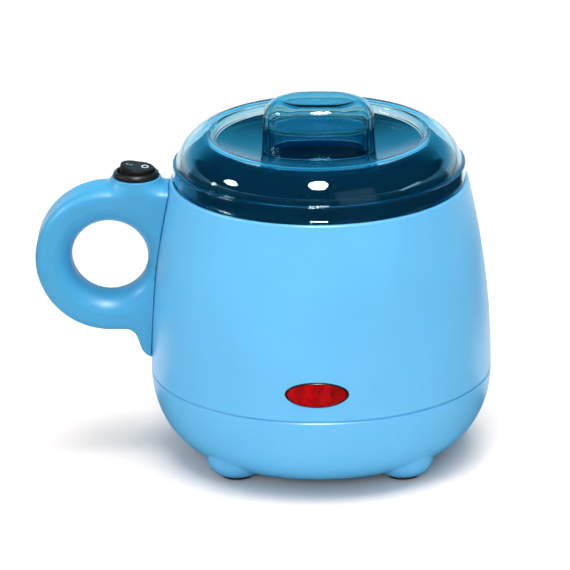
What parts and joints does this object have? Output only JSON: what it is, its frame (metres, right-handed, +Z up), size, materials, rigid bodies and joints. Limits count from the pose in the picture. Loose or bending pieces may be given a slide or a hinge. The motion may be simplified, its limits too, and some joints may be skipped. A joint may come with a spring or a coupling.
{
  "type": "wax warmer",
  "caption": "Table-top pot heater for depilatory wax: barrel body with ring handle and rocker switch, oval lamp, lift-out pot and see-through lid with a knob.",
  "frame": {"origin": "on the surface that the feet stand on, midway between the outer end of the handle and the far side of the body", "axes": "+Z is up, -Y is the front with the lamp, +X is away from the handle"},
  "size_m": [0.1734, 0.1328, 0.1403],
  "materials": {
    "body_plastic": "glossy",
    "handle_plastic": "glossy",
    "lid_plastic": "clear tinted plastic",
    "pot_coating": "satin",
    "black_plastic": "satin",
    "switch_black": "satin",
    "rocker_black": "glossy",
    "red_lens": "glossy",
    "neon_glass": "clear",
    "white_plastic": "satin",
    "white_ceramic": "matte",
    "cup_aluminium": "satin",
    "mica_band": "satin",
    "steel": "satin",
    "brass": "satin",
    "foot_rubber": "matte",
    "gland_rubber": "matte"
  },
  "bodies": {
    "housing": {"body_shell": "body_plastic", "base_shell": "body_plastic", "foot_front_left": "foot_rubber", "foot_front_right": "foot_rubber", "foot_rear_left": "foot_rubber", "foot_rear_right": "foot_rubber", "base_screws": "steel", "pot_collar": "black_plastic", "collar_screws": "steel", "heating_cup": "cup_aluminium", "band_heater": "mica_band", "band_screw": "steel", "thermostat": "white_ceramic", "sensor_bracket": "steel", "bracket_screws": "steel", "thermal_fuse": "white_ceramic", "handle_shell": "handle_plastic", "handle_cover": "handle_plastic", "handle_screws": "steel", "cover_screws": "steel", "switch_housing": "switch_black", "switch_terminals": "brass", "indicator_lens": "red_lens", "neon_lamp": "neon_glass", "lamp_holder": "white_plastic", "lamp_screws": "steel", "terminal_block": "white_plastic", "block_screws": "steel", "cord_gland": "gland_rubber", "cord_clamp": "white_plastic", "clamp_screws": "steel"},
    "pot": {"inner_pot": "pot_coating"},
    "lid": {"lid": "lid_plastic", "lid_knob": "lid_plastic"},
    "rocker": {"switch_rocker": "rocker_black"}
  },
  "joints": [
    {"name": "pot_lift", "type": "slide", "parent": "housing", "child": "pot", "axis": [0, 0, 1], "range_m": [0, 0.07]},
    {"name": "lid_lift", "type": "slide", "parent": "pot", "child": "lid", "axis": [0, 0, 1], "range_m": [0, 0.08]},
    {"name": "switch_rock", "type": "hinge", "parent": "housing", "child": "rocker", "pos_m": [-0.0479, 0, 0.1096], "axis": [0, -1, 0], "range_deg": [0, 16]}
  ]
}
